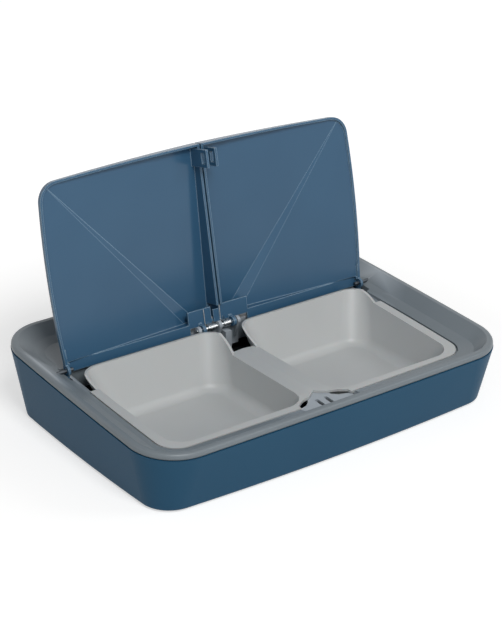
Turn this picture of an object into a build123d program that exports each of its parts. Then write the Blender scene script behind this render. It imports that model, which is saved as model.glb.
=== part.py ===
"""Two-meal pet feeder: a moulded base and rim, a two-bowl tray and two sprung lids with timed latches.

The part stands on its rubber feet with +Z up. -Y is the side the pet eats from, +X is to its right.
The origin is the middle of the base on the floor. The lids are drawn open, as they stand after both meals.
"""

from build123d import *
from math import cos, pi, radians, sin, tan
import os

os.makedirs("parts", exist_ok=True)

# Body outline: every level is a rounded rectangle with slightly bowed sides
RIM_HALF_WIDTH = 160.2
RIM_HALF_DEPTH = 112.2
RIM_CORNER = 36.0
RIM_SIDE_BOW = 1.3
RIM_END_BOW = 1.3
FLOOR_INSET_SIDE = 9.2
FLOOR_INSET_END = 13.6
FLOOR_CORNER = 23.0
FLOOR_SIDE_BOW = 2.7
FLOOR_END_BOW = 5.4

# Heights are given at mid depth; the whole top slopes up towards the back
TOP_SLOPE = 3.1
RIM_HEIGHT = 56.1
RIM_ROLL = 5.0
RIM_ROUND = 2.0
BODY_STEP = 0.1
LID_DROP = 7.4
LEDGE_DROP = 3.6
FOOT_LIFT = 1.2
FLOOR_WALL = 2.8
SHELL_WALL = 2.6
SKIN_WALL = 2.4

# Rim basin: a broad slope inside the rolled edge, a crease, then a ledge round the tray
RIM_LAND = 4.6
CREASE_HALF_WIDTH = 144.0
CREASE_FRONT = 101.0
CREASE_BACK = 97.0
CREASE_CORNER = 24.0
LEDGE_HALF_WIDTH = 136.5
LEDGE_FRONT = 88.0
LEDGE_BACK = 91.0
LEDGE_CORNER = 18.0
LEDGE_BOW = 1.6
DECK_FRONT = 49.0
APRON_DEPTH = 16.0
APRON_WALL = 2.4
APRON_HALF = 134.0
SEAT_WALL = 2.0
BAY_FRONT = 98.5
PIVOT_BLOCK = 12.0
POCKET_X = 138.25
POCKET_WIDTH = 4.5
POCKET_Y = 43.0
POCKET_LENGTH = 20.0
POST_RADIUS = 4.0
POST_DROP = 0.2

# Tray and bowls
TRAY_GAP = 1.5
TRAY_DROP = 0.3
TRAY_WALL = 2.0
SEAT_WIDTH = 4.0
BOWL_FLOOR = 12.0
BOWL_INNER = 18.0
BOWL_OUTER = 119.0
BOWL_FRONT = 70.0
BOWL_BACK = 20.0
BOWL_FLOOR_CORNER = 20.0
BOWL_FLOOR_ROUND = 9.0
BOWL_TOP = 51.6
BOWL_TOP_INNER = 10.2
BOWL_TOP_OUTER = 131.0
BOWL_TOP_FRONT = 86.5
BOWL_TOP_BACK = 37.6
BOWL_TOP_CORNER = 15.0
DIVIDER_HEIGHT = 41.2
DIVIDER_HALF = 16.0
DIVIDER_FALL = 1.2
DIVIDER_BACK = 15.0
BACK_START = 14.0
BACK_END = 30.0
BACK_TOP = 51.2
INNER_CUT = 20.0
NOTCH_TIP = 72.0
NOTCH = [(24.0, 100.0), (22.5, 84.3), (16.0, 80.0), (8.0, 77.5), (0.0, NOTCH_TIP)]

# Lids
OPEN_LEAN = 10.9
HINGE_Y = 43.0
LID_HALF_WIDTH = 138.8
LID_SIDE_BOW = 3.2
LID_LENGTH = 138.3
LID_FRONT_BOW = 3.6
LID_CORNER = 15.5
LID_REAR = 3.6
LID_SKIN = 2.0
LID_WALL = 1.8
LID_RIM = 0.5
SEAM_GAP = 1.6
CREASE_FOOT_X = 135.2
CREASE_FOOT_L = 138.1
LOW_CREASE_X = 22.8
HIGH_CREASE_X = 9.6
EDGE_RISE = 1.1
SIDE_PANEL_RISE = 11.2
CENTRE_RISE = 15.0
FRONT_RISE = 6.4
SKIRT_CLEAR = 2.9
FLAP_RISE = 2.9
FLAP_WALL = 1.5
FLAP_REAR = -2.5
FLAP_FRONT = 15.5
FLAP_START = 2.4
TAB_REACH = 4.6
TAB_FRONT = 12.5
TAB_GAP = 1.0
TAB_SWEEP = 13.2
FLAP_LUG_CLEAR = 26.0
STOP_REACH = 8.0

# Hinge
PIN_RADIUS = 1.5
PIN_PLAY = 0.05
EAR_RADIUS = 4.0
EAR_WALL = 2.0
INNER_EAR_WALL = 2.6
LUG_RADIUS = 3.3
LUG_WALL = 2.6
SIDE_PIN_INNER = 133.0
SIDE_PIN_OUTER = 152.0
RIGHT_EAR_X = 9.2
LEFT_EAR_X = 16.4
PIN_LUGS = (-23.0, -3.6, 13.2)
PIN_PROUD = 0.5
RIGHT_EAR_TOP = 14.8
LEFT_EAR_TOP = 13.9
BRACKET_LEFT = -25.0
BRACKET_RIGHT = 18.0
BRACKET_FRONT = 45.9
BRACKET_BACK = 48.8
BRACKET_TOP = 47.0
BRACKET_FOOT = 30.0
LUG_FOOT = 34.0
POST_X = 3.2
CENTRE_POST_WIDTH = 5.5
POST_FRONT = 38.0
CENTRE_POST_TOP = 46.0

# Springs at the hinge
SPRING_WIRE = 0.8
SPRING_RADIUS = 2.45
SPRING_PITCH = 1.3
SPRING_TURNS = 5.0
LID_LEG = 15.0
BRACKET_LEG = 7.0
RIGHT_SPRING_X = 1.2
LEFT_SPRING_X = -13.5
LEG_SLOT_END = 15.7

# Catches and latches at the front centre
CATCH_X = 4.0
CATCH_WALL = 2.0
CATCH_L = 132.0
CATCH_LENGTH = 14.0
CATCH_DEPTH = 14.7
CATCH_TOP = 7.8
CATCH_BAR = 2.5
WINDOW_LENGTH = 8.0
WINDOW_DEPTH = 4.5
PAWL_TIP = 6.0
PAWL_SHOULDER = 10.0
PAWL_END = 22.0
PAWL_FRONT = 99.0
PAWL_BACK = 86.0
NOSE_FRONT = 92.0
NOSE_BOTTOM = 32.0
NOSE_TOP = 35.2
PAWL_TOP = 34.5
PAWL_BOTTOM = 25.2
PAWL_PLAY = 0.1
RAIL_WALL = 1.6
RAIL_TOP = 30.0
RAIL_END = 24.0
PLUNGER_RADIUS = 3.2
PLUNGER_PLAY = 0.05
PLUNGER_END = 36.0
SOLENOID_START = 27.0
SOLENOID_LENGTH = 24.0
SOLENOID_SIZE = 13.2
SOLENOID_WALL = 1.6
SOLENOID_Y = -95.2
COIL_RADIUS = 5.0
CHASSIS_HALF = 54.0
CHASSIS_WALL = 2.4
CHASSIS_TOP = 22.0
CHASSIS_FRONT = 102.0
CHASSIS_BACK = 83.5
CHASSIS_POST_RADIUS = 3.5
CHASSIS_POSTS = [(-48.0, 95.0), (48.0, 95.0), (-20.0, 92.0), (20.0, 92.0)]
COVER_DROP = 2.3
COVER_WALL = 1.8
COVER_RIB = 2.8
COVER_RIB_TOP = 36.8
COVER = [(24.0, 98.2), (24.0, 86.0), (15.0, 83.5), (10.5, 79.5), (7.5, 71.0)]
SLOT_FRONT = 97.0
SLOT_BACK = 80.5
SLOT_WIDTH = 3.0
LATCH_BAY_HALF = 25.0

# Timer console on the rear deck
WINDOW_SIZE = (50.0, 21.0)
WINDOW_LIP = 2.0
WINDOW_WALL = 1.6
CONSOLE_Y = 73.0
LCD_MARGIN = 2.0
LCD_WALL = 2.8
BUTTON_RADIUS = 4.6
BUTTON_PLACES = {"mode_button": -52.0, "set_button": -37.0, "hour_button": 37.0, "minute_button": 52.0}
BUTTON_PROUD = 1.1
BUTTON_FLANGE = 1.2
BUTTON_FLANGE_WALL = 1.0
BUTTON_PLAY = 0.3
SWITCH_SIZE = 6.0
SWITCH_HEIGHT = 3.6
SWITCH_TIP_RADIUS = 1.7
SWITCH_TIP = 1.15
BOARD_SIZE = (132.0, 30.0)
BOARD_WALL = 1.6
BOARD_DROP = 9.0
STANDOFF_X = 60.0
STANDOFF_Y = 11.0
STANDOFF_RADIUS = 2.5

# Battery bay under the rear deck, with a sliding door in the floor
CELL_RADIUS = 7.1
CELL_LENGTH = 50.0
CELL_NUB = 1.5
CELL_NUB_RADIUS = 2.7
CELL_PITCH = 15.4
CELL_Z = 10.6
BAY_Y = 72.0
BAY_HALF_LENGTH = 55.0
BAY_HALF_WIDTH = 15.2
BAY_TOP = 18.0
BAY_WALL = 1.8
CONTACT_WALL = 0.4
CONTACT_SIZE = 12.0
DOOR_WALL = 2.0
DOOR_FACE = 0.9
DOOR_PLAY = 0.3
DOOR_MARGIN = 1.5
DOOR_TONGUE = 1.5
DOOR_TRAVEL = 8.0

# Feet and screws
FOOT_RADIUS = 8.0
FOOT_RECESS = 1.0
FOOT_X = 128.0
FOOT_Y = 76.0
SCREW_RADIUS = 1.5
SCREW_HEAD_RADIUS = 2.9
SCREW_HEAD = 2.0
SCREW_BITE = 9.0
BOSS_RADIUS = 4.8
BOSS_TOP = 26.0
SCREW_PLACES = [(-145, -58), (145, -58), (-145, 66), (145, 66), (-84, -97), (84, -97), (-84, 92), (84, 92)]

LID_HEIGHT = RIM_HEIGHT - LID_DROP
LEDGE_HEIGHT = LID_HEIGHT - LEDGE_DROP
TRAY_HEIGHT = LEDGE_HEIGHT - TRAY_DROP
FLOOR_TOP = FOOT_LIFT + FLOOR_WALL
SLOPE = tan(radians(TOP_SLOPE))
HINGE_Z = LID_HEIGHT + HINGE_Y * SLOPE
LEAN_SIN = sin(radians(OPEN_LEAN))
LEAN_COS = cos(radians(OPEN_LEAN))


def sloped(height):
    """Plane parallel to the rim, at the given height over mid depth."""
    tilt = radians(TOP_SLOPE)
    return Plane(origin=(0, 0, height), x_dir=(1, 0, 0), z_dir=(0, -sin(tilt), cos(tilt)))


def bowed_outline(half_width, front, back, corner, end_bow, side_bow):
    """Rounded rectangle whose four sides bulge a little."""
    middle = (back - front) / 2
    with BuildSketch(Plane.XY, mode=Mode.PRIVATE) as face:
        with BuildLine():
            ThreePointArc((-half_width, -front), (0, -front - end_bow), (half_width, -front))
            ThreePointArc((half_width, -front), (half_width + side_bow, middle), (half_width, back))
            ThreePointArc((half_width, back), (0, back + end_bow), (-half_width, back))
            ThreePointArc((-half_width, back), (-half_width - side_bow, middle), (-half_width, -front))
        make_face()
        fillet(face.vertices(), corner)
    return face.sketch


def rim_outline(inset):
    return bowed_outline(RIM_HALF_WIDTH - inset, RIM_HALF_DEPTH - inset, RIM_HALF_DEPTH - inset,
                         RIM_CORNER - inset, RIM_END_BOW, RIM_SIDE_BOW)


def floor_outline(inset):
    return bowed_outline(RIM_HALF_WIDTH - FLOOR_INSET_SIDE - inset, RIM_HALF_DEPTH - FLOOR_INSET_END - inset,
                         RIM_HALF_DEPTH - FLOOR_INSET_END - inset, FLOOR_CORNER - inset,
                         FLOOR_END_BOW, FLOOR_SIDE_BOW)


def crease_outline(grow):
    return bowed_outline(CREASE_HALF_WIDTH + grow, CREASE_FRONT + grow, CREASE_BACK + grow,
                         CREASE_CORNER + grow, LEDGE_BOW, RIM_SIDE_BOW)


def ledge_outline(grow):
    return bowed_outline(LEDGE_HALF_WIDTH + grow, LEDGE_FRONT + grow, LEDGE_BACK + grow,
                         LEDGE_CORNER + grow, LEDGE_BOW, RIM_SIDE_BOW)


def lid_point(x, length, rise):
    """Point of the open lid, from its place across, its distance from the hinge and its rise."""
    return Vector(x, HINGE_Y + length * LEAN_SIN + rise * LEAN_COS, HINGE_Z + length * LEAN_COS - rise * LEAN_SIN)


# The open lid's own plane: x across, y back towards the hinge, z out of the lid's top
LID = Plane(origin=(0, HINGE_Y, HINGE_Z), x_dir=(1, 0, 0), z_dir=(0, LEAN_COS, -LEAN_SIN))


def panel_plane(a, b, c):
    """Plane through three points of a lid panel, facing out of the lid's top."""
    outward = (b - a).cross(c - a)
    if outward.dot(LID.z_dir) < 0:
        outward = -outward
    return Plane(origin=a, x_dir=b - a, z_dir=outward)


def lid_side(x):
    """Plane across the hinge axis; its x runs along the lid and its y out of the lid's top."""
    return Plane(origin=(x, HINGE_Y, HINGE_Z), x_dir=(0, LEAN_SIN, LEAN_COS), z_dir=(-1, 0, 0))


# Base: a tapered tub, open at the top, with screw bosses, foot recesses and a battery bay
with BuildPart() as base_shell:
    with BuildSketch(Plane.XY.offset(FOOT_LIFT)):
        add(floor_outline(0))
    with BuildSketch(sloped(RIM_HEIGHT - RIM_ROLL)):
        add(rim_outline(BODY_STEP))
    loft()
    lower_edge = base_shell.faces().sort_by(Axis.Z)[0].edges()
    fillet(lower_edge, 2.2)
    with BuildSketch(Plane.XY.offset(FLOOR_TOP)):
        add(floor_outline(SHELL_WALL))
    with BuildSketch(sloped(RIM_HEIGHT - RIM_ROLL)):
        add(rim_outline(BODY_STEP + SHELL_WALL))
    loft(mode=Mode.SUBTRACT)
    with BuildSketch(Plane.XY.offset(FLOOR_TOP)):
        with Locations(*SCREW_PLACES):
            Circle(BOSS_RADIUS)
    extrude(amount=BOSS_TOP - FLOOR_TOP)
    with Locations(*[(x, y, FOOT_LIFT) for x, y in SCREW_PLACES]):
        Cylinder(SCREW_HEAD_RADIUS + 0.5, BOSS_TOP - SCREW_HEAD - FOOT_LIFT,
                 align=(Align.CENTER, Align.CENTER, Align.MIN), mode=Mode.SUBTRACT)
        Cylinder(SCREW_RADIUS + 0.2, BOSS_TOP, align=(Align.CENTER, Align.CENTER, Align.MIN), mode=Mode.SUBTRACT)
    with BuildSketch(Plane.XY.offset(FOOT_LIFT)):
        with GridLocations(2 * FOOT_X, 2 * FOOT_Y, 2, 2):
            Circle(FOOT_RADIUS)
    extrude(amount=FOOT_RECESS, mode=Mode.SUBTRACT)
    # Battery opening, and stepped grooves that let its door slide towards the front
    with BuildSketch(Plane.XY.offset(FOOT_LIFT)):
        with Locations((0, BAY_Y)):
            Rectangle(2 * BAY_HALF_LENGTH, 2 * BAY_HALF_WIDTH)
    extrude(amount=SHELL_WALL + FOOT_LIFT, mode=Mode.SUBTRACT)
    for start, thick, wider in ((0, DOOR_FACE, 0), (DOOR_FACE, DOOR_WALL - DOOR_FACE + DOOR_PLAY / 2, DOOR_TONGUE)):
        with BuildSketch(Plane.XY.offset(FOOT_LIFT + start)):
            with Locations((0, BAY_Y - DOOR_TRAVEL / 2)):
                Rectangle(2 * (BAY_HALF_LENGTH + DOOR_MARGIN + DOOR_PLAY + wider),
                          2 * (BAY_HALF_WIDTH + DOOR_MARGIN + DOOR_PLAY) + DOOR_TRAVEL)
        extrude(amount=thick, mode=Mode.SUBTRACT)

# Rim: a rolled edge, a broad slope to a crease, a ledge round the tray and a deck behind the hinge
with BuildPart() as top_bezel:
    with BuildSketch(sloped(RIM_HEIGHT - RIM_ROLL)):
        add(rim_outline(0))
    with BuildSketch(sloped(RIM_HEIGHT)):
        add(rim_outline(0.8))
    loft()
    fillet(top_bezel.faces().sort_by(Axis.Z)[-1].edges(), RIM_ROUND)
    with BuildSketch(sloped(RIM_HEIGHT - RIM_ROLL)):
        add(rim_outline(6.6))
    with BuildSketch(sloped(LID_HEIGHT - SKIN_WALL)):
        add(crease_outline(SKIN_WALL))
    loft()
    with BuildSketch(sloped(LID_HEIGHT - SKIN_WALL)):
        add(crease_outline(SKIN_WALL))
    with BuildSketch(sloped(LEDGE_HEIGHT - SKIN_WALL)):
        add(ledge_outline(SKIN_WALL))
    loft()
    # Screw posts and the blocks round the outer pivots reach up into the skin
    with BuildPart(mode=Mode.PRIVATE) as posts:
        with Locations(*[(x, y, BOSS_TOP) for x, y in SCREW_PLACES]):
            Cylinder(POST_RADIUS, RIM_HEIGHT - BOSS_TOP, align=(Align.CENTER, Align.CENTER, Align.MIN))
        split(bisect_by=sloped(LID_HEIGHT - POST_DROP), keep=Keep.BOTTOM)
    add(posts.part)
    for side in (-1, 1):
        with Locations((side * (CREASE_HALF_WIDTH + PIVOT_BLOCK / 2 - 1), HINGE_Y, HINGE_Z)):
            Box(PIVOT_BLOCK, 2 * EAR_RADIUS, 2 * EAR_RADIUS)
    with BuildSketch(sloped(RIM_HEIGHT + 0.5)):
        add(rim_outline(RIM_LAND))
    with BuildSketch(sloped(LID_HEIGHT)):
        add(crease_outline(0))
    loft(mode=Mode.SUBTRACT)
    with BuildSketch(sloped(LID_HEIGHT)):
        add(crease_outline(0))
    with BuildSketch(sloped(LEDGE_HEIGHT)):
        add(ledge_outline(0))
    loft(mode=Mode.SUBTRACT)
    # Tray opening with a seat all round it, and an apron under the deck's front edge
    with BuildSketch(sloped(LEDGE_HEIGHT)):
        add(ledge_outline(0))
        with Locations((0, DECK_FRONT + RIM_HALF_DEPTH)):
            Rectangle(2 * RIM_HALF_WIDTH, 2 * RIM_HALF_DEPTH, mode=Mode.SUBTRACT)
    extrude(amount=-2 * SKIN_WALL, mode=Mode.SUBTRACT)
    with BuildSketch(sloped(TRAY_HEIGHT).offset(-TRAY_WALL)):
        add(ledge_outline(SKIN_WALL))
        add(ledge_outline(-SEAT_WIDTH), mode=Mode.SUBTRACT)
        with Locations((0, DECK_FRONT + RIM_HALF_DEPTH)):
            Rectangle(2 * RIM_HALF_WIDTH, 2 * RIM_HALF_DEPTH, mode=Mode.SUBTRACT)
    extrude(amount=-SEAT_WALL)
    with Locations((0, DECK_FRONT + APRON_WALL / 2 + 0.1, LEDGE_HEIGHT + DECK_FRONT * SLOPE - APRON_DEPTH / 2 - 1)):
        Box(2 * APRON_HALF, APRON_WALL, APRON_DEPTH)
    for side in (-1, 1):
        with Locations((side * POCKET_X, POCKET_Y, HINGE_Z)):
            Box(POCKET_WIDTH, POCKET_LENGTH, 8 * EAR_RADIUS, mode=Mode.SUBTRACT)
    with Locations(Plane(origin=(-SIDE_PIN_OUTER, HINGE_Y, HINGE_Z), z_dir=(1, 0, 0))):
        Cylinder(PIN_RADIUS, 2 * SIDE_PIN_OUTER, align=(Align.CENTER, Align.CENTER, Align.MIN), mode=Mode.SUBTRACT)
    # Deck: a rebate and opening for the display window, button holes and stand-offs for the timer's board
    with BuildSketch(sloped(LEDGE_HEIGHT)):
        with Locations((0, CONSOLE_Y)):
            Rectangle(*WINDOW_SIZE)
    extrude(amount=-WINDOW_WALL, mode=Mode.SUBTRACT)
    with BuildSketch(sloped(LEDGE_HEIGHT)):
        with Locations((0, CONSOLE_Y)):
            Rectangle(WINDOW_SIZE[0] - 2 * WINDOW_LIP, WINDOW_SIZE[1] - 2 * WINDOW_LIP)
        with Locations(*[(x, CONSOLE_Y) for x in BUTTON_PLACES.values()]):
            Circle(BUTTON_RADIUS + BUTTON_PLAY)
    extrude(amount=-2 * SKIN_WALL, mode=Mode.SUBTRACT)
    with BuildSketch(sloped(LEDGE_HEIGHT).offset(-BOARD_DROP)):
        with Locations((0, CONSOLE_Y)):
            with GridLocations(2 * STANDOFF_X, 2 * STANDOFF_Y, 2, 2):
                Circle(STANDOFF_RADIUS)
    extrude(amount=BOARD_DROP - SKIN_WALL / 2)
    # Latch bay in the middle of the front
    with BuildSketch(sloped(LID_HEIGHT)):
        with Locations((0, -(LEDGE_FRONT + BAY_FRONT) / 2 + SEAT_WIDTH / 2)):
            Rectangle(2 * LATCH_BAY_HALF, BAY_FRONT - LEDGE_FRONT + SEAT_WIDTH)
    extrude(amount=-LID_DROP - SKIN_WALL - SEAT_WALL, mode=Mode.SUBTRACT)
    with Locations(*[(x, y, BOSS_TOP) for x, y in SCREW_PLACES]):
        Cylinder(SCREW_RADIUS, SCREW_BITE, align=(Align.CENTER, Align.CENTER, Align.MIN), mode=Mode.SUBTRACT)


def bowl(side, grow, depth):
    """Tapered space of one bowl, grown outwards by a wall and lowered at the floor."""
    middle_x = side * (BOWL_INNER + BOWL_OUTER) / 2
    middle_y = (BOWL_BACK - BOWL_FRONT) / 2
    top_x = side * (BOWL_TOP_INNER + BOWL_TOP_OUTER) / 2
    top_y = (BOWL_TOP_BACK - BOWL_TOP_FRONT) / 2
    with BuildPart(mode=Mode.PRIVATE) as space:
        with BuildSketch(Plane.XY.offset(BOWL_FLOOR - depth)):
            with Locations((middle_x, middle_y)):
                RectangleRounded(BOWL_OUTER - BOWL_INNER + 2 * grow, BOWL_FRONT + BOWL_BACK + 2 * grow,
                                 BOWL_FLOOR_CORNER + grow)
        with BuildSketch(Plane.XY.offset(BOWL_TOP)):
            with Locations((top_x, top_y)):
                RectangleRounded(BOWL_TOP_OUTER - BOWL_TOP_INNER + 2 * grow, BOWL_TOP_FRONT + BOWL_TOP_BACK + 2 * grow,
                                 BOWL_TOP_CORNER + grow)
        loft()
        fillet(space.faces().sort_by(Axis.Z)[0].edges(), BOWL_FLOOR_ROUND + grow)
    return space.part


# Tray: two bowls in one moulding, with a flange round them and raised back walls
with BuildPart() as food_tray:
    for side in (-1, 1):
        add(bowl(side, TRAY_WALL, TRAY_WALL))
    with BuildSketch(sloped(TRAY_HEIGHT)):
        add(ledge_outline(-TRAY_GAP))
        with Locations((0, BACK_START + RIM_HALF_DEPTH)):
            Rectangle(2 * RIM_HALF_WIDTH, 2 * RIM_HALF_DEPTH, mode=Mode.SUBTRACT)
        with Locations((0, (DIVIDER_BACK - NOTCH_TIP) / 2)):
            Rectangle(2 * DIVIDER_HALF, DIVIDER_BACK + NOTCH_TIP, mode=Mode.SUBTRACT)
    extrude(amount=-TRAY_WALL)
    with BuildSketch(Plane.XZ.offset(NOTCH_TIP)):
        with BuildLine():
            Polyline((0, DIVIDER_HEIGHT), (DIVIDER_HALF, DIVIDER_HEIGHT - DIVIDER_FALL),
                     (DIVIDER_HALF, DIVIDER_HEIGHT - DIVIDER_FALL - TRAY_WALL), (0, DIVIDER_HEIGHT - TRAY_WALL),
                     (-DIVIDER_HALF, DIVIDER_HEIGHT - DIVIDER_FALL - TRAY_WALL),
                     (-DIVIDER_HALF, DIVIDER_HEIGHT - DIVIDER_FALL), close=True)
        make_face()
    extrude(amount=-NOTCH_TIP - DIVIDER_BACK)
    for side in (-1, 1):
        add(bowl(side, 0, 0), mode=Mode.SUBTRACT)
    with BuildSketch(Plane.YZ.offset(-RIM_HALF_WIDTH)):
        with BuildLine():
            Polyline((-RIM_HALF_DEPTH, TRAY_HEIGHT - RIM_HALF_DEPTH * SLOPE),
                     (BACK_START, TRAY_HEIGHT + BACK_START * SLOPE), (BACK_END, BACK_TOP), (RIM_HALF_DEPTH, BACK_TOP),
                     (RIM_HALF_DEPTH, RIM_HEIGHT + BACK_TOP), (-RIM_HALF_DEPTH, RIM_HEIGHT + BACK_TOP), close=True)
        make_face()
    extrude(amount=2 * RIM_HALF_WIDTH, mode=Mode.SUBTRACT)
    with BuildSketch(Plane.YZ.offset(-INNER_CUT)):
        with BuildLine():
            Polyline((DIVIDER_BACK - 3, DIVIDER_HEIGHT), (BACK_END, BACK_TOP), (DIVIDER_BACK - 3, BACK_TOP),
                     close=True)
        make_face()
    extrude(amount=2 * INNER_CUT, mode=Mode.SUBTRACT)
    with BuildSketch(Plane.XZ.offset(NOTCH_TIP)):
        with BuildLine():
            roof_fall = DIVIDER_FALL * INNER_CUT / DIVIDER_HALF
            Polyline((0, DIVIDER_HEIGHT), (INNER_CUT, DIVIDER_HEIGHT - roof_fall), (INNER_CUT, BACK_TOP + 1),
                     (-INNER_CUT, BACK_TOP + 1), (-INNER_CUT, DIVIDER_HEIGHT - roof_fall), close=True)
        make_face()
    extrude(amount=3 - NOTCH_TIP - DIVIDER_BACK, mode=Mode.SUBTRACT)
    # Notch for the latch cover, open to the front
    with BuildSketch(sloped(TRAY_HEIGHT + 1)):
        with BuildLine():
            Polyline(*[(x, -y) for x, y in NOTCH], *[(-x, -y) for x, y in NOTCH[-2::-1]], close=True)
        make_face()
    extrude(amount=-TRAY_WALL - 1.5, mode=Mode.SUBTRACT)


def lid_roof(lift):
    """Solid under the right lid's three folded panels, raised by the given amount."""
    foot = (CREASE_FOOT_X, CREASE_FOOT_L)
    past = -5.0
    low_rear = LOW_CREASE_X + (CREASE_FOOT_X - LOW_CREASE_X) * past / CREASE_FOOT_L
    high_rear = HIGH_CREASE_X + (CREASE_FOOT_X - HIGH_CREASE_X) * past / CREASE_FOOT_L
    far = 2 * RIM_HALF_DEPTH
    foot_point = lid_point(*foot, EDGE_RISE + lift)
    centre_point = lid_point(0, 0, CENTRE_RISE + lift)
    front_point = lid_point(0, CREASE_FOOT_L, FRONT_RISE + lift)
    side_point = lid_point(CREASE_FOOT_X, 0, EDGE_RISE + lift)
    low_point = lid_point(LOW_CREASE_X, 0, SIDE_PANEL_RISE + lift)
    high_rise = CENTRE_RISE + (EDGE_RISE - FRONT_RISE) * HIGH_CREASE_X / CREASE_FOOT_X
    high_point = lid_point(HIGH_CREASE_X, 0, high_rise + lift)
    panels = [
        ([(low_rear, past), (far, past), (far, far), foot], (side_point, foot_point, low_point)),
        ([(high_rear, past), (low_rear, past), foot], (low_point, foot_point, high_point)),
        ([(-far, past), (high_rear, past), foot, (far, far), (-far, far)], (foot_point, front_point, centre_point)),
    ]
    with BuildPart(mode=Mode.PRIVATE) as roof:
        for outline, corners in panels:
            with BuildPart(mode=Mode.PRIVATE) as panel:
                with BuildSketch(LID.offset(-LID_RIM)):
                    with BuildLine():
                        Polyline(*[(x, -length) for x, length in outline], close=True)
                    make_face()
                extrude(amount=3 * CENTRE_RISE)
                split(bisect_by=panel_plane(*corners), keep=Keep.BOTTOM)
            add(panel.part)
    return roof.part


def lid_outline(inset):
    """Right lid from above, with a bowed side and front."""
    side = LID_HALF_WIDTH - inset
    front = LID_LENGTH - inset
    middle = (front + LID_REAR + inset) / 2
    with BuildSketch(Plane.XY, mode=Mode.PRIVATE) as outline:
        with BuildLine():
            Polyline((side, -LID_REAR - inset), (SEAM_GAP / 2 + inset, -LID_REAR - inset),
                     (SEAM_GAP / 2 + inset, -front - LID_FRONT_BOW))
            ThreePointArc((SEAM_GAP / 2 + inset, -front - LID_FRONT_BOW), (side / 2, -front - LID_FRONT_BOW * 0.75),
                          (side, -front))
            ThreePointArc((side, -front), (side + LID_SIDE_BOW, -middle), (side, -LID_REAR - inset))
        make_face()
        fillet(outline.vertices().sort_by_distance((side, -front))[0], LID_CORNER - inset)
    return outline.sketch


def make_lid(ear_x, ear_top, flap_start, slot_side, slot_top):
    """Right-hand lid; the left one is its mirror image with other fittings at the hinge centre."""
    flap_end = FLAP_LUG_CLEAR + LID_WALL
    with BuildPart(mode=Mode.PRIVATE) as lid:
        with BuildSketch(LID.offset(-LID_RIM)):
            add(lid_outline(0))
        extrude(amount=3 * CENTRE_RISE)
        add(lid_roof(LID_SKIN), mode=Mode.INTERSECT)
        with BuildPart(mode=Mode.PRIVATE) as inside:
            with BuildSketch(LID.offset(-LID_RIM)):
                add(lid_outline(LID_WALL))
            extrude(amount=3 * CENTRE_RISE)
            add(lid_roof(0), mode=Mode.INTERSECT)
        add(inside.part, mode=Mode.SUBTRACT)
        # The rear skirt stops short of the tray's back walls, and the seam skirt short of the spring
        with BuildSketch(LID.offset(SKIRT_CLEAR)):
            with Locations((LID_HALF_WIDTH / 2, -LID_REAR)):
                Rectangle(LID_HALF_WIDTH - 4 * LID_WALL, 2 * LID_WALL + 0.4)
        extrude(amount=-2 * SKIRT_CLEAR, mode=Mode.SUBTRACT)
        with BuildSketch(LID.offset(slot_top)):
            with Locations((slot_side / 2, -LEG_SLOT_END / 2)):
                Rectangle(slot_side, LEG_SLOT_END)
        extrude(amount=-slot_top - 2 * LID_RIM, mode=Mode.SUBTRACT)
        # Flaps behind the hinge line: one closes the gap to the deck, one takes the spring's leg
        with BuildSketch(LID.offset(FLAP_RISE)):
            with Locations(((FLAP_LUG_CLEAR + LID_HALF_WIDTH) / 2, -(FLAP_REAR + LID_REAR) / 2 - LID_WALL / 2)):
                Rectangle(LID_HALF_WIDTH - LID_WALL - FLAP_LUG_CLEAR, LID_REAR + LID_WALL - FLAP_REAR)
            with Locations(((flap_start + flap_end) / 2, -(FLAP_START + FLAP_FRONT) / 2)):
                Rectangle(flap_end - flap_start, FLAP_FRONT - FLAP_START)
        extrude(amount=FLAP_WALL)
        # Inner ear, and an outer ear that is drawn down past the hinge as a stop
        with BuildSketch(lid_side(ear_x + INNER_EAR_WALL)):
            Circle(EAR_RADIUS)
            with BuildLine():
                Polyline((-1, 3.8), (2.6, 5.2), (LID_REAR + 0.2, ear_top), (12, ear_top), (4.4, 2.2), (3.9, 0.8),
                         close=True)
            make_face()
        extrude(amount=INNER_EAR_WALL)
        with BuildSketch(lid_side(LID_HALF_WIDTH)):
            Circle(EAR_RADIUS)
            with BuildLine():
                Polyline((0, EAR_RADIUS), (9, 2.8), (16, 0), (9, -LID_RIM), (-STOP_REACH + 1, -LID_RIM),
                         (-STOP_REACH, LID_RIM), (-STOP_REACH, 2.6), (-STOP_REACH + 1, 3.6), close=True)
            make_face()
        extrude(amount=EAR_WALL)
        with Locations(Plane(origin=(0, HINGE_Y, HINGE_Z), z_dir=(1, 0, 0))):
            Cylinder(PIN_RADIUS + PIN_PLAY, 2 * LID_HALF_WIDTH + EAR_WALL, mode=Mode.SUBTRACT)
        # Catch: a windowed plate under the front corner by the seam
        with BuildSketch(lid_side(CATCH_X + CATCH_WALL / 2)):
            with Locations((CATCH_L, (CATCH_TOP - CATCH_DEPTH) / 2)):
                Rectangle(CATCH_LENGTH, CATCH_TOP + CATCH_DEPTH)
            with Locations((CATCH_L, CATCH_BAR - CATCH_DEPTH + WINDOW_DEPTH / 2)):
                Rectangle(WINDOW_LENGTH, WINDOW_DEPTH, mode=Mode.SUBTRACT)
        extrude(amount=CATCH_WALL)
    return lid.part


with BuildPart() as right_lid:
    add(make_lid(RIGHT_EAR_X, RIGHT_EAR_TOP, SEAM_GAP / 2, LID_WALL + SEAM_GAP, FLAP_RISE))
with BuildPart() as left_lid:
    add(mirror(make_lid(LEFT_EAR_X, LEFT_EAR_TOP, TAB_REACH + 2 * TAB_GAP, TAB_REACH + TAB_GAP, TAB_SWEEP),
               about=Plane.YZ, mode=Mode.PRIVATE))

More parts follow.
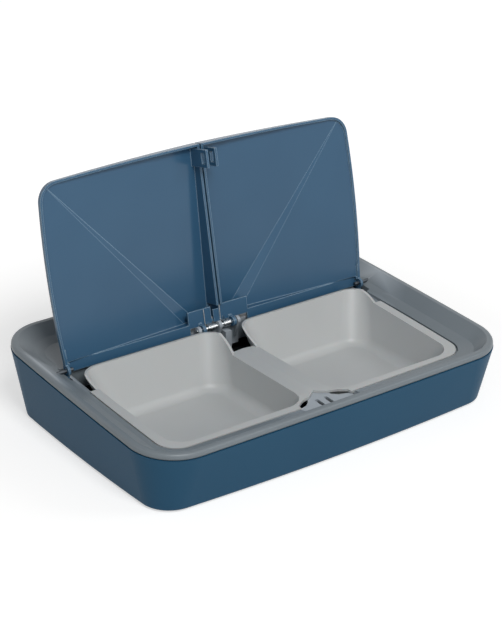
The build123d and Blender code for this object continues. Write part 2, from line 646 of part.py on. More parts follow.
# Tab on the right lid's seam that closes the gap behind the springs
with BuildPart() as seam_tab:
    with BuildSketch(LID.offset(FLAP_RISE)):
        with Locations(((SEAM_GAP / 2 - TAB_REACH) / 2, -(FLAP_START + TAB_FRONT) / 2)):
            RectangleRounded(SEAM_GAP / 2 + TAB_REACH, TAB_FRONT - FLAP_START, 0.5)
    extrude(amount=FLAP_WALL)

# Bracket on the deck's apron: three lugs for the hinge pin and a post between the bowls
with BuildPart() as hinge_bracket:
    with Locations(((BRACKET_LEFT + BRACKET_RIGHT) / 2, (BRACKET_FRONT + BRACKET_BACK) / 2,
                    (BRACKET_TOP + BRACKET_FOOT) / 2)):
        Box(BRACKET_RIGHT - BRACKET_LEFT, BRACKET_BACK - BRACKET_FRONT, BRACKET_TOP - BRACKET_FOOT)
    for x in PIN_LUGS:
        with BuildSketch(Plane.YZ.offset(x)):
            with Locations((HINGE_Y, HINGE_Z)):
                Circle(LUG_RADIUS)
            with BuildLine():
                Polyline((HINGE_Y - LUG_RADIUS, HINGE_Z), (HINGE_Y + LUG_RADIUS, HINGE_Z),
                         (BRACKET_FRONT + 0.6, BRACKET_TOP), (BRACKET_FRONT + 0.6, LUG_FOOT), close=True)
            make_face()
        extrude(amount=LUG_WALL)
    with Locations((POST_X, (POST_FRONT + BRACKET_BACK) / 2, (BRACKET_FOOT + CENTRE_POST_TOP) / 2)):
        Box(CENTRE_POST_WIDTH, BRACKET_BACK - POST_FRONT, CENTRE_POST_TOP - BRACKET_FOOT)
    with Locations(Plane(origin=(BRACKET_LEFT, HINGE_Y, HINGE_Z), z_dir=(1, 0, 0))):
        Cylinder(PIN_RADIUS, BRACKET_RIGHT - BRACKET_LEFT, align=(Align.CENTER, Align.CENTER, Align.MIN),
                 mode=Mode.SUBTRACT)

with BuildPart() as hinge_pin:
    with BuildSketch(Plane.YZ.offset(PIN_LUGS[0] - PIN_PROUD)):
        with Locations((HINGE_Y, HINGE_Z)):
            Circle(PIN_RADIUS)
    extrude(amount=PIN_LUGS[-1] + LUG_WALL + 2 * PIN_PROUD - PIN_LUGS[0])
    chamfer(hinge_pin.edges(), 0.3)

with BuildPart() as side_hinge_pins:
    for start in (-SIDE_PIN_OUTER, SIDE_PIN_INNER):
        with BuildSketch(Plane.YZ.offset(start)):
            with Locations((HINGE_Y, HINGE_Z)):
                Circle(PIN_RADIUS)
        extrude(amount=SIDE_PIN_OUTER - SIDE_PIN_INNER)
    chamfer(side_hinge_pins.edges(), 0.3)


def coil_point(start_x, turn):
    """Point and direction on a hinge spring's coil, a number of turns from its lid leg."""
    angle = -radians(OPEN_LEAN) - 2 * pi * turn
    point = Vector(start_x + SPRING_PITCH * turn, HINGE_Y + SPRING_RADIUS * cos(angle),
                   HINGE_Z + SPRING_RADIUS * sin(angle))
    heading = Vector(SPRING_PITCH / (2 * pi * SPRING_RADIUS), sin(angle), -cos(angle)).normalized()
    return point, heading


def spring_ends(start_x):
    """Both ends of the coil with the directions of its straight legs."""
    last_turn = SPRING_TURNS - OPEN_LEAN / 360
    first, last = coil_point(start_x, 0)[0], coil_point(start_x, last_turn)[0]
    return (first, Vector(0, -LEAN_SIN, -LEAN_COS)), (last, Vector(0, 0, -1)), last_turn


def make_spring(start_x):
    """Torsion spring: a straight leg up the lid, close turns round the pin, a leg down the bracket."""
    (first, lid_heading), (last, bracket_heading), last_turn = spring_ends(start_x)
    count = int(2 * SPRING_TURNS)
    stops = [coil_point(start_x, last_turn * i / count) for i in range(count + 1)]
    stops[0] = (first, lid_heading)
    stops[-1] = (last, bracket_heading)
    leg_tip = first - lid_heading * LID_LEG
    with BuildPart(mode=Mode.PRIVATE) as spring:
        with BuildLine() as route:
            Line(leg_tip, first)
            for (here, heading), (there, next_heading) in zip(stops, stops[1:]):
                # Two arcs that meet half way between the points reached along both headings
                span = there - here
                a = 2 * (heading.dot(next_heading) - 1)
                b = -2 * span.dot(heading + next_heading)
                reach = (-b - (b * b - 4 * a * span.dot(span)) ** 0.5) / (2 * a)
                meeting = (here + heading * reach + there - next_heading * reach) * 0.5
                TangentArc(here, meeting, tangent=heading)
                TangentArc(there, meeting, tangent=-next_heading)
            Line(last, last + bracket_heading * BRACKET_LEG)
        with BuildSketch(Plane(origin=leg_tip, z_dir=-lid_heading)):
            Circle(SPRING_WIRE / 2)
        sweep(path=route.wires()[0])
    samples = [coil_point(start_x, last_turn * i / 400)[0] for i in range(401)]
    apart = 400 / last_turn / 2
    least = min((p - q).length for i, p in enumerate(samples) for q in samples[i + int(apart):])
    print("spring turns: least gap", round(least - SPRING_WIRE, 2), "mm")
    return spring.part


with BuildPart() as right_lid_spring:
    add(make_spring(RIGHT_SPRING_X))
with BuildPart() as left_lid_spring:
    add(make_spring(LEFT_SPRING_X))

# Chassis for the latches: a plate on four posts
with BuildPart() as latch_chassis:
    with BuildSketch(Plane.XY.offset(CHASSIS_TOP)):
        with Locations((0, -(CHASSIS_FRONT + CHASSIS_BACK) / 2)):
            RectangleRounded(2 * CHASSIS_HALF, CHASSIS_FRONT - CHASSIS_BACK, 2)
    extrude(amount=-CHASSIS_WALL)
    with Locations(*[(x, -y, FLOOR_TOP) for x, y in CHASSIS_POSTS]):
        Cylinder(CHASSIS_POST_RADIUS, CHASSIS_TOP - FLOOR_TOP, align=(Align.CENTER, Align.CENTER, Align.MIN))

    for side in (-1, 1):
        with Locations((side * (PAWL_SHOULDER + RAIL_END) / 2, -(PAWL_FRONT + PAWL_BACK) / 2,
                        (CHASSIS_TOP + PAWL_BOTTOM - PAWL_PLAY) / 2)):
            Box(RAIL_END - PAWL_SHOULDER, PAWL_FRONT - PAWL_BACK, PAWL_BOTTOM - PAWL_PLAY - CHASSIS_TOP)
        for y in (-PAWL_FRONT - PAWL_PLAY - RAIL_WALL / 2, -PAWL_BACK + PAWL_PLAY + RAIL_WALL / 2):
            with Locations((side * (PAWL_SHOULDER + RAIL_END) / 2, y, (CHASSIS_TOP + RAIL_TOP) / 2)):
                Box(RAIL_END - PAWL_SHOULDER, RAIL_WALL + 0.01, RAIL_TOP - CHASSIS_TOP)


SOLENOID_Z = CHASSIS_TOP + SOLENOID_SIZE / 2


def make_pawl():
    """Right latch's pawl, drawn back: a nose for the catch's window on a sliding block."""
    with BuildPart(mode=Mode.PRIVATE) as pawl:
        with Locations(((PAWL_SHOULDER + PAWL_END) / 2, -(PAWL_FRONT + PAWL_BACK) / 2, (PAWL_BOTTOM + PAWL_TOP) / 2)):
            Box(PAWL_END - PAWL_SHOULDER, PAWL_FRONT - PAWL_BACK, PAWL_TOP - PAWL_BOTTOM)
        with BuildSketch(Plane.XZ.offset(PAWL_BACK)):
            with BuildLine():
                Polyline((PAWL_TIP, NOSE_BOTTOM), (PAWL_TIP, NOSE_TOP - 2), (PAWL_TIP + 2, NOSE_TOP),
                         (PAWL_SHOULDER + 2, NOSE_TOP), (PAWL_SHOULDER + 2, NOSE_BOTTOM), close=True)
            make_face()
        extrude(amount=NOSE_FRONT - PAWL_BACK)
    return pawl.part


def make_plunger():
    """Right solenoid's plunger, fixed to the pawl's end."""
    with BuildPart(mode=Mode.PRIVATE) as plunger:
        with BuildSketch(Plane.YZ.offset(PAWL_END)):
            with Locations((SOLENOID_Y, SOLENOID_Z)):
                Circle(PLUNGER_RADIUS)
        extrude(amount=PLUNGER_END - PAWL_END)
        chamfer(plunger.edges().sort_by(Axis.X)[-1], 0.4)
    return plunger.part


def make_frame():
    """Right solenoid's frame: a steel strap round the winding, bored for the plunger."""
    with BuildPart(mode=Mode.PRIVATE) as frame:
        with Locations((SOLENOID_START + SOLENOID_LENGTH / 2, SOLENOID_Y, SOLENOID_Z)):
            Box(SOLENOID_LENGTH, SOLENOID_SIZE, SOLENOID_SIZE)
            Box(SOLENOID_LENGTH - 2 * SOLENOID_WALL, SOLENOID_SIZE, SOLENOID_SIZE - 2 * SOLENOID_WALL,
                mode=Mode.SUBTRACT)
        with BuildSketch(Plane.YZ.offset(SOLENOID_START)):
            with Locations((SOLENOID_Y, SOLENOID_Z)):
                Circle(PLUNGER_RADIUS + PLUNGER_PLAY)
        extrude(amount=SOLENOID_WALL, mode=Mode.SUBTRACT)
    return frame.part


def make_coil():
    """Right solenoid's winding between the frame's ends."""
    with BuildPart(mode=Mode.PRIVATE) as coil:
        with BuildSketch(Plane.YZ.offset(SOLENOID_START + SOLENOID_WALL)):
            with Locations((SOLENOID_Y, SOLENOID_Z)):
                Circle(COIL_RADIUS)
                Circle(PLUNGER_RADIUS + PLUNGER_PLAY, mode=Mode.SUBTRACT)
        extrude(amount=SOLENOID_LENGTH - 2 * SOLENOID_WALL)
    return coil.part


with BuildPart() as right_latch:
    add(make_pawl())
with BuildPart() as left_latch:
    add(mirror(make_pawl(), about=Plane.YZ, mode=Mode.PRIVATE))
with BuildPart() as right_plunger:
    add(make_plunger())
with BuildPart() as left_plunger:
    add(mirror(make_plunger(), about=Plane.YZ, mode=Mode.PRIVATE))
with BuildPart() as right_solenoid:
    add(make_frame())
with BuildPart() as left_solenoid:
    add(mirror(make_frame(), about=Plane.YZ, mode=Mode.PRIVATE))
with BuildPart() as right_coil:
    add(make_coil())
with BuildPart() as left_coil:
    add(mirror(make_coil(), about=Plane.YZ, mode=Mode.PRIVATE))

# Cover in the tray's notch, with a slot for each catch and a rib down to the chassis
with BuildPart() as latch_cover:
    with BuildSketch(sloped(TRAY_HEIGHT - COVER_DROP)):
        with BuildLine():
            Polyline(*[(x, -y) for x, y in COVER], *[(-x, -y) for x, y in COVER[::-1]], close=True)
        make_face()
        for side in (-1, 1):
            with Locations((side * CATCH_X, -(SLOT_FRONT + SLOT_BACK) / 2)):
                SlotOverall(SLOT_FRONT - SLOT_BACK, SLOT_WIDTH, rotation=90, mode=Mode.SUBTRACT)
    extrude(amount=-COVER_WALL)
    with Locations((0, -(CHASSIS_FRONT + CHASSIS_BACK) / 2 + 2, (CHASSIS_TOP + COVER_RIB_TOP) / 2)):
        Box(COVER_RIB, CHASSIS_FRONT - CHASSIS_BACK - 5, COVER_RIB_TOP - CHASSIS_TOP)

# Timer: a window in the deck, the display under it, and a board with a switch under each button
with BuildPart() as display_window:
    with BuildSketch(sloped(LEDGE_HEIGHT)):
        with Locations((0, CONSOLE_Y)):
            Rectangle(WINDOW_SIZE[0] - 0.1, WINDOW_SIZE[1] - 0.1)
    extrude(amount=-WINDOW_WALL)

with BuildPart() as lcd_panel:
    with BuildSketch(sloped(LEDGE_HEIGHT).offset(-SKIN_WALL)):
        with Locations((0, CONSOLE_Y)):
            Rectangle(WINDOW_SIZE[0] + 2 * LCD_MARGIN, WINDOW_SIZE[1] + 2 * LCD_MARGIN)
    extrude(amount=-LCD_WALL)

with BuildPart() as timer_circuit_board:
    with BuildSketch(sloped(LEDGE_HEIGHT).offset(-BOARD_DROP)):
        with Locations((0, CONSOLE_Y)):
            Rectangle(*BOARD_SIZE)
    extrude(amount=-BOARD_WALL)

with BuildPart() as tact_switches:
    with BuildSketch(sloped(LEDGE_HEIGHT).offset(-BOARD_DROP)):
        with Locations(*[(x, CONSOLE_Y) for x in BUTTON_PLACES.values()]):
            Rectangle(SWITCH_SIZE, SWITCH_SIZE)
    extrude(amount=SWITCH_HEIGHT)
    with BuildSketch(sloped(LEDGE_HEIGHT).offset(-BOARD_DROP)):
        with Locations(*[(x, CONSOLE_Y) for x in BUTTON_PLACES.values()]):
            Circle(SWITCH_TIP_RADIUS)
    extrude(amount=SWITCH_HEIGHT + SWITCH_TIP)


def make_button(x):
    """Round button with a flange that rests against the deck's underside."""
    with BuildPart(mode=Mode.PRIVATE) as button:
        with BuildSketch(sloped(LEDGE_HEIGHT).offset(-SKIN_WALL - BUTTON_FLANGE_WALL)):
            with Locations((x, CONSOLE_Y)):
                Circle(BUTTON_RADIUS)
        extrude(amount=SKIN_WALL + BUTTON_FLANGE_WALL + BUTTON_PROUD)
        fillet(button.edges().sort_by(Axis.Z)[-1], 0.6)
        with BuildSketch(sloped(LEDGE_HEIGHT).offset(-SKIN_WALL)):
            with Locations((x, CONSOLE_Y)):
                Circle(BUTTON_RADIUS + BUTTON_FLANGE)
        extrude(amount=-BUTTON_FLANGE_WALL)
    return button.part


buttons = []
for button_name, button_x in BUTTON_PLACES.items():
    with BuildPart() as one_button:
        add(make_button(button_x))
    buttons.append((button_name, one_button))

# Battery bay: a box on the floor, four cells in two rows, contacts at both ends and a sliding door
with BuildPart() as battery_box:
    with Locations((0, BAY_Y, FLOOR_TOP)):
        Box(2 * (BAY_HALF_LENGTH + BAY_WALL), 2 * (BAY_HALF_WIDTH + BAY_WALL), BAY_TOP + BAY_WALL - FLOOR_TOP,
            align=(Align.CENTER, Align.CENTER, Align.MIN))
        Box(2 * BAY_HALF_LENGTH, 2 * BAY_HALF_WIDTH, BAY_TOP - FLOOR_TOP,
            align=(Align.CENTER, Align.CENTER, Align.MIN), mode=Mode.SUBTRACT)

with BuildPart() as batteries:
    for row in (-1, 1):
        for start in (-CELL_LENGTH, 0):
            with BuildSketch(Plane.YZ.offset(start)):
                with Locations((BAY_Y + row * CELL_PITCH / 2, CELL_Z)):
                    Circle(CELL_RADIUS)
            extrude(amount=CELL_LENGTH - CELL_NUB)
            with BuildSketch(Plane.YZ.offset(start + CELL_LENGTH - CELL_NUB)):
                with Locations((BAY_Y + row * CELL_PITCH / 2, CELL_Z)):
                    Circle(CELL_NUB_RADIUS)
            extrude(amount=CELL_NUB - 0.02)

with BuildPart() as battery_contacts:
    for row in (-1, 1):
        for side in (-1, 1):
            with Locations((side * (BAY_HALF_LENGTH - CONTACT_WALL / 2), BAY_Y + row * CELL_PITCH / 2, CELL_Z)):
                Box(CONTACT_WALL, CONTACT_SIZE, CONTACT_SIZE)
            with Locations((side * (BAY_HALF_LENGTH + CELL_LENGTH) / 2, BAY_Y + row * CELL_PITCH / 2, CELL_Z)):
                Cylinder(CELL_NUB_RADIUS, BAY_HALF_LENGTH - CELL_LENGTH, rotation=(0, 90, 0))

with BuildPart() as battery_door:
    for start, thick, wider in ((0, DOOR_FACE, 0), (DOOR_FACE, DOOR_WALL - DOOR_FACE, DOOR_TONGUE)):
        with BuildSketch(Plane.XY.offset(FOOT_LIFT + start)):
            with Locations((0, BAY_Y)):
                Rectangle(2 * (BAY_HALF_LENGTH + DOOR_MARGIN + wider), 2 * (BAY_HALF_WIDTH + DOOR_MARGIN))
        extrude(amount=thick)
    with BuildSketch(Plane.XY.offset(FOOT_LIFT)):
        with Locations((0, BAY_Y - BAY_HALF_WIDTH / 2)):
            SlotOverall(4 * DOOR_TRAVEL / 2, DOOR_TRAVEL / 2)
    extrude(amount=DOOR_FACE, mode=Mode.SUBTRACT)

with BuildPart() as rubber_feet:
    with BuildSketch(Plane.XY):
        with GridLocations(2 * FOOT_X, 2 * FOOT_Y, 2, 2):
            Circle(FOOT_RADIUS)
    extrude(amount=FOOT_LIFT + FOOT_RECESS)
    chamfer(rubber_feet.faces().sort_by(Axis.Z)[:4].edges(), 0.4)

with BuildPart() as case_screws:
    for x, y in SCREW_PLACES:
        with Locations((x, y, BOSS_TOP - SCREW_HEAD)):
            Cylinder(SCREW_HEAD_RADIUS, SCREW_HEAD, align=(Align.CENTER, Align.CENTER, Align.MAX))
            Cylinder(SCREW_RADIUS, SCREW_BITE + SCREW_HEAD, align=(Align.CENTER, Align.CENTER, Align.MIN))

nodes = [("base_shell", base_shell), ("top_bezel", top_bezel), ("food_tray", food_tray), ("left_lid", left_lid),
         ("right_lid", right_lid), ("hinge_bracket", hinge_bracket), ("hinge_pin", hinge_pin),
         ("side_hinge_pins", side_hinge_pins), ("left_lid_spring", left_lid_spring),
         ("right_lid_spring", right_lid_spring), ("latch_chassis", latch_chassis), ("latch_cover", latch_cover),
         ("rubber_feet", rubber_feet), ("case_screws", case_screws), ("seam_tab", seam_tab),
         ("left_latch", left_latch), ("right_latch", right_latch), ("left_plunger", left_plunger),
         ("right_plunger", right_plunger), ("left_solenoid", left_solenoid), ("right_solenoid", right_solenoid),
         ("left_coil", left_coil), ("right_coil", right_coil), ("display_window", display_window),
         ("lcd_panel", lcd_panel), ("timer_circuit_board", timer_circuit_board), ("tact_switches", tact_switches),
         ("battery_box", battery_box), ("batteries", batteries), ("battery_contacts", battery_contacts),
         ("battery_door", battery_door)] + buttons
for label, piece in nodes:
    piece.part.label = label
    export_step(piece.part, "parts/" + label + ".step")
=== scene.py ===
import math

import bpy
import bmesh
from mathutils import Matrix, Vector

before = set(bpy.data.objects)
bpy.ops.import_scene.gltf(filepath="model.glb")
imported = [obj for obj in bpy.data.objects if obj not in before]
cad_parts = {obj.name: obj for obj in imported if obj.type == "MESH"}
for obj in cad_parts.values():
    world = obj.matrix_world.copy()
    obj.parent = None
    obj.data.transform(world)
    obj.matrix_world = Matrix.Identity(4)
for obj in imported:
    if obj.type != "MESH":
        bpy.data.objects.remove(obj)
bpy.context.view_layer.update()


# The room: a pale floor with a soft contact shadow, a white surround and three broad lamps,
# as in a small product studio. The camera stands to the front left, a little above the feeder.
def linear(code):
    """Linear colour of an sRGB hex value."""
    parts = [int(code[i:i + 2], 16) / 255 for i in (1, 3, 5)]
    return [c / 12.92 if c <= 0.04045 else ((c + 0.055) / 1.055) ** 2.4 for c in parts] + [1.0]


def node(material, kind, inputs=(), **settings):
    """Adds a shader node; each input takes a plain value or another node's output."""
    made = material.node_tree.nodes.new(kind)
    for name, value in settings.items():
        setattr(made, name, value)
    for socket, value in dict(inputs).items():
        if isinstance(value, bpy.types.NodeSocket):
            material.node_tree.links.new(value, made.inputs[socket])
        else:
            made.inputs[socket].default_value = value
    return made


def new_material(name):
    """An empty node material."""
    material = bpy.data.materials.new(name)
    material.use_nodes = True
    material.node_tree.nodes.clear()
    return material


def seen_directly(material):
    """1 where the eye, a reflection or clear plastic looks at the surface, 0 where it only gives light."""
    rays = node(material, "ShaderNodeLightPath")
    looked_at = node(material, "ShaderNodeMath",
                     {0: rays.outputs["Is Camera Ray"], 1: rays.outputs["Is Glossy Ray"]},
                     operation="MAXIMUM")
    either = node(material, "ShaderNodeMath",
                  {0: looked_at.outputs[0], 1: rays.outputs["Is Transmission Ray"]},
                  operation="MAXIMUM")
    return either.outputs[0]


WHITE = linear("#FFFFFF")
FLOOR_HALF = 6.0
# Close to the feeder the paper is mostly lit, so that it takes the shadow; further off it glows a clean white
LIT_REACH = 0.25
CLEAN_REACH = 0.9
LIT_GLOW_SHARE = 0.3
LIT_GLOW = 1.9
CLEAN_GLOW = 1.02
studio_paper = new_material("studio_paper")
paper_place = node(studio_paper, "ShaderNodeTexCoord")
paper_reach = node(studio_paper, "ShaderNodeVectorMath", {0: paper_place.outputs["Object"]},
                   operation="LENGTH")
paper_share = node(studio_paper, "ShaderNodeMapRange",
                   {"Value": paper_reach.outputs["Value"], "From Min": LIT_REACH, "From Max": CLEAN_REACH,
                    "To Min": LIT_GLOW_SHARE, "To Max": 1.0})
paper_level = node(studio_paper, "ShaderNodeMapRange",
                   {"Value": paper_reach.outputs["Value"], "From Min": LIT_REACH, "From Max": CLEAN_REACH,
                    "To Min": LIT_GLOW, "To Max": CLEAN_GLOW})
glow_share = node(studio_paper, "ShaderNodeMath",
                  {0: seen_directly(studio_paper), 1: paper_share.outputs[0]}, operation="MULTIPLY")
paper = node(studio_paper, "ShaderNodeBsdfDiffuse", {"Color": linear("#F4F4F3")})
glow = node(studio_paper, "ShaderNodeEmission", {"Color": WHITE, "Strength": paper_level.outputs[0]})
paper_mix = node(studio_paper, "ShaderNodeMixShader",
                 {0: glow_share.outputs[0], 1: paper.outputs[0], 2: glow.outputs[0]})
node(studio_paper, "ShaderNodeOutputMaterial", {"Surface": paper_mix.outputs[0]})

floor_mesh = bmesh.new()
bmesh.ops.create_grid(floor_mesh, x_segments=1, y_segments=1, size=FLOOR_HALF)
floor_data = bpy.data.meshes.new("studio_floor")
floor_mesh.to_mesh(floor_data)
floor_mesh.free()
floor_data.materials.append(studio_paper)
studio_floor = bpy.data.objects.new("studio_floor", floor_data)
bpy.context.scene.collection.objects.link(studio_floor)

ROOM_LIGHT = 0.24
surround = bpy.data.worlds.new("surround")
surround.use_nodes = True
surround.node_tree.nodes.clear()
surround_level = node(surround, "ShaderNodeMapRange",
                      {"Value": seen_directly(surround), "To Min": ROOM_LIGHT, "To Max": 1.0})
surround_white = node(surround, "ShaderNodeBackground",
                      {"Color": WHITE, "Strength": surround_level.outputs[0]})
node(surround, "ShaderNodeOutputWorld", {"Surface": surround_white.outputs[0]})
bpy.context.scene.world = surround


def lamp(name, place, size, watts):
    """A round softbox that faces the feeder."""
    data = bpy.data.lights.new(name, "AREA")
    data.shape = "DISK"
    data.size = size
    data.energy = watts
    made = bpy.data.objects.new(name, data)
    made.location = place
    made.rotation_euler = Vector(place).to_track_quat("Z", "Y").to_euler()
    bpy.context.scene.collection.objects.link(made)


lamp("key_lamp", place=(-0.35, -1.15, 1.4), size=0.7, watts=16)
lamp("front_lamp", place=(-0.5, -1.4, 0.8), size=0.9, watts=2)
lamp("right_lamp", place=(0.9, -1.0, 1.0), size=0.5, watts=3)

AIM = Vector((0.01344, 0.02285, 0.05753))
AZIMUTH = math.radians(36.175)
ELEVATION = math.radians(24.635)
DISTANCE = 1.2769
LENS_MM = 93.27
SENSOR_MM = 36
FAR_CLIP = 30
camera_data = bpy.data.cameras.new("camera")
camera_data.lens = LENS_MM
camera_data.sensor_width = SENSOR_MM
camera_data.clip_end = FAR_CLIP
camera = bpy.data.objects.new("camera", camera_data)
towards_camera = Vector((-math.sin(AZIMUTH) * math.cos(ELEVATION),
                         -math.cos(AZIMUTH) * math.cos(ELEVATION),
                         math.sin(ELEVATION)))
camera.location = AIM + towards_camera * DISTANCE
camera.rotation_euler = (-towards_camera).to_track_quat("-Z", "Y").to_euler()
bpy.context.scene.collection.objects.link(camera)
bpy.context.scene.camera = camera
bpy.context.scene.view_settings.view_transform = "Standard"


# Base shell: one injection-moulded ABS tub in slate blue, with the battery door in the same plastic.
# The tool is spark-eroded, so the skin is satin with a fine even grain and only soft reflections.
def dress(material, *names):
    """Gives CAD nodes this material."""
    for name in names:
        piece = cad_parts[name]
        piece.data.materials.clear()
        piece.data.materials.append(material)


def speckle(material, millimetres, detail=2.0):
    """Noise over the object's own coordinates, with features of this size."""
    where = node(material, "ShaderNodeTexCoord")
    noise = node(material, "ShaderNodeTexNoise",
                 {"Vector": where.outputs["Object"], "Scale": 1000 / millimetres, "Detail": detail})
    return noise.outputs[0]


# The colour sockets of a Mix node, which share their names with its other sockets
TONE_A = 6
TONE_B = 7
MIXED_TONE = 2


def drifting_colour(material, millimetres, darker, lighter):
    """A slow drift between two close tones, as large mouldings have."""
    drift = node(material, "ShaderNodeMix",
                 {"Factor": speckle(material, millimetres, detail=1.0),
                  TONE_A: linear(darker), TONE_B: linear(lighter)}, data_type="RGBA")
    return drift.outputs[MIXED_TONE]


def finish(material, inputs):
    """Ends a material with a Principled surface."""
    surface = node(material, "ShaderNodeBsdfPrincipled", inputs)
    node(material, "ShaderNodeOutputMaterial", {"Surface": surface.outputs[0]})


# The real grain is about 0.5 mm, drawn coarser here so that it shows
BASE_GRAIN_MM = 1.2
BASE_RELIEF = 0.00005
moulded_blue_abs = new_material("moulded_blue_abs")
base_grain = speckle(moulded_blue_abs, BASE_GRAIN_MM)
base_relief = node(moulded_blue_abs, "ShaderNodeBump",
                   {"Height": base_grain, "Strength": 0.3, "Distance": BASE_RELIEF})
base_shine = node(moulded_blue_abs, "ShaderNodeMapRange",
                  {"Value": base_grain, "To Min": 0.40, "To Max": 0.52})
finish(moulded_blue_abs,
       {"Base Color": drifting_colour(moulded_blue_abs, 90, "#284F6A", "#2D5671"),
        "Roughness": base_shine.outputs[0], "IOR": 1.53, "Specular IOR Level": 0.08,
        "Normal": base_relief.outputs[0]})
dress(moulded_blue_abs, "base_shell", "battery_door")


# Rim: one ABS moulding in mid grey with a rolled edge; the bracket and the latch cover are moulded to match.
# Its grain is finer than the base's, and its sharpest edges carry a painted highlight, a paler grey mixed in
# by pointiness.
RIM_GRAIN_MM = 0.9
RIM_RELIEF = 0.00004
EDGE_HIGHLIGHT_STARTS = 0.53
EDGE_HIGHLIGHT_FULL = 0.60
moulded_grey_abs = new_material("moulded_grey_abs")
rim_grain = speckle(moulded_grey_abs, RIM_GRAIN_MM)
rim_relief = node(moulded_grey_abs, "ShaderNodeBump",
                  {"Height": rim_grain, "Strength": 0.3, "Distance": RIM_RELIEF})
rim_shine = node(moulded_grey_abs, "ShaderNodeMapRange",
                 {"Value": rim_grain, "To Min": 0.34, "To Max": 0.44})
# Painted highlight: where pointiness marks a sharp convex edge, a paler grey is mixed into the rim's colour.
rim_edge = node(moulded_grey_abs, "ShaderNodeNewGeometry")
painted_edge_highlight = node(moulded_grey_abs, "ShaderNodeMapRange",
              {"Value": rim_edge.outputs["Pointiness"], "From Min": EDGE_HIGHLIGHT_STARTS, "From Max": EDGE_HIGHLIGHT_FULL})
rim_tone = node(moulded_grey_abs, "ShaderNodeMix",
                {"Factor": painted_edge_highlight.outputs[0],
                 TONE_A: drifting_colour(moulded_grey_abs, 70, "#6B747A", "#757E84"),
                 TONE_B: linear("#A2AAB1")}, data_type="RGBA")
finish(moulded_grey_abs,
       {"Base Color": rim_tone.outputs[MIXED_TONE], "Roughness": rim_shine.outputs[0], "IOR": 1.53,
        "Specular IOR Level": 0.45, "Normal": rim_relief.outputs[0]})
dress(moulded_grey_abs, "top_bezel", "hinge_bracket", "latch_cover")


# Tray: both bowls in one polypropylene moulding, light grey and a little waxy, washed by hand.
# Wiping leaves faint duller patches a few centimetres across.
TRAY_GRAIN_MM = 2.0
TRAY_RELIEF = 0.00004
WIPE_MM = 25
moulded_light_pp = new_material("moulded_light_pp")
tray_relief = node(moulded_light_pp, "ShaderNodeBump",
                   {"Height": speckle(moulded_light_pp, TRAY_GRAIN_MM), "Strength": 0.15,
                    "Distance": TRAY_RELIEF})
wiped = node(moulded_light_pp, "ShaderNodeMapRange",
             {"Value": speckle(moulded_light_pp, WIPE_MM), "To Min": 0.34, "To Max": 0.50})
finish(moulded_light_pp,
       {"Base Color": drifting_colour(moulded_light_pp, 60, "#B3B6B6", "#BCBEBE"),
        "Roughness": wiped.outputs[0], "IOR": 1.49, "Normal": tray_relief.outputs[0],
        "Subsurface Weight": 0.05, "Subsurface Scale": 0.002})
dress(moulded_light_pp, "food_tray")


# Lids: translucent slate-blue polycarbonate, 2 mm thick and glossy from a polished tool.
# A fold or an edge of the sheet catches the light as a fine paler line, drawn where the surface turns
# within the rounding's reach.
FOLD_ROUND = 0.0009
FOLD_LINE_STARTS = 0.9995
FOLD_LINE_FULL = 0.992
HAZE_MM = 30
smoked_blue_pc = new_material("smoked_blue_pc")
lid_folds = node(smoked_blue_pc, "ShaderNodeBevel", {"Radius": FOLD_ROUND}, samples=4)
lid_haze = node(smoked_blue_pc, "ShaderNodeMapRange",
                {"Value": speckle(smoked_blue_pc, HAZE_MM), "To Min": 0.16, "To Max": 0.26})
lid_surface = node(smoked_blue_pc, "ShaderNodeNewGeometry")
lid_bend = node(smoked_blue_pc, "ShaderNodeVectorMath",
                {0: lid_folds.outputs[0], 1: lid_surface.outputs["True Normal"]},
                operation="DOT_PRODUCT")
fold_line = node(smoked_blue_pc, "ShaderNodeMapRange",
                 {"Value": lid_bend.outputs["Value"], "From Min": FOLD_LINE_STARTS,
                  "From Max": FOLD_LINE_FULL})
lid_tone = node(smoked_blue_pc, "ShaderNodeMix",
                {"Factor": fold_line.outputs[0],
                 TONE_A: drifting_colour(smoked_blue_pc, 50, "#365C7B", "#3C6483"),
                 TONE_B: linear("#7C9AB0")}, data_type="RGBA")
finish(smoked_blue_pc,
       {"Base Color": lid_tone.outputs[MIXED_TONE], "Roughness": lid_haze.outputs[0], "IOR": 1.58,
        "Transmission Weight": 0.1, "Specular IOR Level": 0.3, "Normal": lid_folds.outputs[0]})
dress(smoked_blue_pc, "left_lid", "right_lid", "seam_tab")


# Hinge pin, lid springs, screws and the latches' plungers: drawn steel rod and wire, bright plated.
# The drawing leaves fine marks, so the shine varies a little.
DRAW_MARK_MM = 0.8
bright_steel = new_material("bright_steel")
steel_shine = node(bright_steel, "ShaderNodeMapRange",
                   {"Value": speckle(bright_steel, DRAW_MARK_MM), "To Min": 0.12, "To Max": 0.28})
finish(bright_steel,
       {"Base Color": drifting_colour(bright_steel, 10, "#CFD3D5", "#DEE1E2"), "Metallic": 1.0,
        "Roughness": steel_shine.outputs[0]})
dress(bright_steel, "hinge_pin", "left_lid_spring", "right_lid_spring", "case_screws",
      "left_plunger", "right_plunger")


# Outer hinge pins: short steel rods, oil-blackened so that they don't show against the rim.
# The oxide is satin and slightly uneven.
OXIDE_MM = 1.5
blackened_steel = new_material("blackened_steel")
oxide = node(blackened_steel, "ShaderNodeMapRange",
             {"Value": speckle(blackened_steel, OXIDE_MM), "To Min": 0.42, "To Max": 0.6})
finish(blackened_steel,
       {"Base Color": drifting_colour(blackened_steel, 4, "#4A4F54", "#5C6166"), "Metallic": 1.0,
        "Roughness": oxide.outputs[0]})
dress(blackened_steel, "side_hinge_pins")


